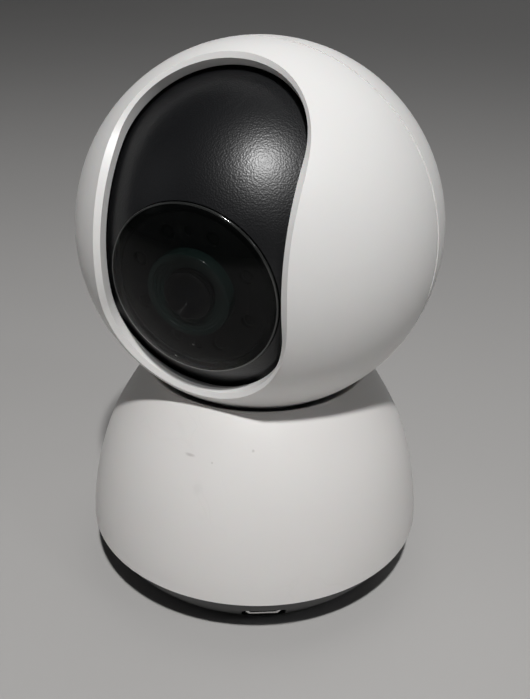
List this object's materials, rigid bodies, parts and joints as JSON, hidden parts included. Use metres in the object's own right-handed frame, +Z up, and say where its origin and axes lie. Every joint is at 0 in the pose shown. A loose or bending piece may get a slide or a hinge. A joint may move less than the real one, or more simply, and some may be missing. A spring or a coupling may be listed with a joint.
{
  "type": "baby monitor camera",
  "caption": "Free-standing baby monitor camera: a white ball head that pans on a bell-shaped base, with a black tilting lens ball behind a long front opening.",
  "frame": {"origin": "centre of the underside, on the pan axis, where the foot ring meets the table", "axes": "+Z up along the pan axis; the head looks along -Y at rest; the tilt axis is parallel to X"},
  "size_m": [0.078, 0.078, 0.118],
  "materials": {
    "white_shell": "satin",
    "dark_foot": "satin",
    "rubber_black": "matte",
    "screw_steel": "satin",
    "board_green": "satin",
    "socket_metal": "satin",
    "black_insert": "matte",
    "grey_frame": "matte",
    "bearing_white": "satin",
    "motor_can": "satin",
    "magnet_metal": "satin",
    "speaker_paper": "matte",
    "ball_black": "matte",
    "window_smoke": "polished",
    "ring_tint": "gloss",
    "lens_clear": "polished",
    "lamp_clear": "gloss",
    "microphone_metal": "satin",
    "button_black": "satin"
  },
  "bodies": {
    "base": {"base_shell": "white_shell", "base_cover": "dark_foot", "foot_ring": "rubber_black", "base_screws": "screw_steel", "usb_board": "board_green", "usb_board_screws": "screw_steel", "usb_socket": "socket_metal", "usb_tongue": "black_insert", "pan_frame": "grey_frame", "pan_frame_screws": "screw_steel", "pan_bush": "bearing_white", "thrust_washer": "bearing_white", "pan_motor": "motor_can", "pan_motor_screws": "screw_steel"},
    "pan_drive": {"pan_pinion": "bearing_white"},
    "head": {"pan_gear": "bearing_white", "neck": "grey_frame", "neck_screws": "screw_steel", "retaining_ring": "socket_metal", "head_front_shell": "white_shell", "head_rear_shell": "white_shell", "tilt_bracket_left": "grey_frame", "tilt_bracket_right": "grey_frame", "bracket_screws": "screw_steel", "tilt_bushes": "bearing_white", "tilt_motor": "motor_can", "tilt_motor_screws": "screw_steel", "speaker_basket": "black_insert", "speaker_cone": "speaker_paper", "speaker_magnet": "magnet_metal", "wifi_antenna": "board_green"},
    "tilt_drive": {"tilt_pinion": "bearing_white"},
    "ball": {"ball_front_shell": "ball_black", "ball_rear_cover": "ball_black", "ball_screws": "screw_steel", "window": "window_smoke", "lens_shroud": "black_insert", "lens_ring": "ring_tint", "lens_barrel": "black_insert", "lens_glass": "lens_clear", "lens_holder": "black_insert", "image_sensor": "black_insert", "led_board": "board_green", "infrared_leds": "lamp_clear", "status_led": "lamp_clear", "light_sensor": "lamp_clear", "main_board": "board_green", "board_screws": "screw_steel", "processor_shield": "socket_metal", "card_socket": "socket_metal", "microphone": "microphone_metal", "reset_switch": "black_insert", "tilt_gear": "bearing_white"},
    "button": {"reset_button": "button_black"}
  },
  "joints": [
    {"name": "pan", "type": "hinge", "parent": "base", "child": "head", "pos_m": [0, 0, 0.04], "axis": [0, 0, 1], "range_deg": [-327.3, 22.7]},
    {"name": "tilt", "type": "hinge", "parent": "head", "child": "ball", "pos_m": [0, 0, 0.0795], "axis": [-1, 0, 0], "range_deg": [-27.5, 68.5]},
    {"name": "pan_drive_spin", "type": "hinge", "parent": "base", "child": "pan_drive", "pos_m": [-0.01069, 0.02036, 0.033], "axis": [0, 0, 1], "range_deg": [-180, 2200]},
    {"name": "tilt_drive_spin", "type": "hinge", "parent": "head", "child": "tilt_drive", "pos_m": [-0.0217, 0.015, 0.0795], "axis": [-1, 0, 0], "range_deg": [-280, 120]},
    {"name": "reset_press", "type": "slide", "parent": "ball", "child": "button", "axis": [0, -0.1132, 0.9936], "range_m": [0, 0.0005], "stiffness_N_per_m": 200}
  ],
  "couplings": [
    {"joint": "pan_drive_spin", "follows": "pan", "ratio": -6.6667},
    {"joint": "tilt_drive_spin", "follows": "tilt", "ratio": -4}
  ]
}
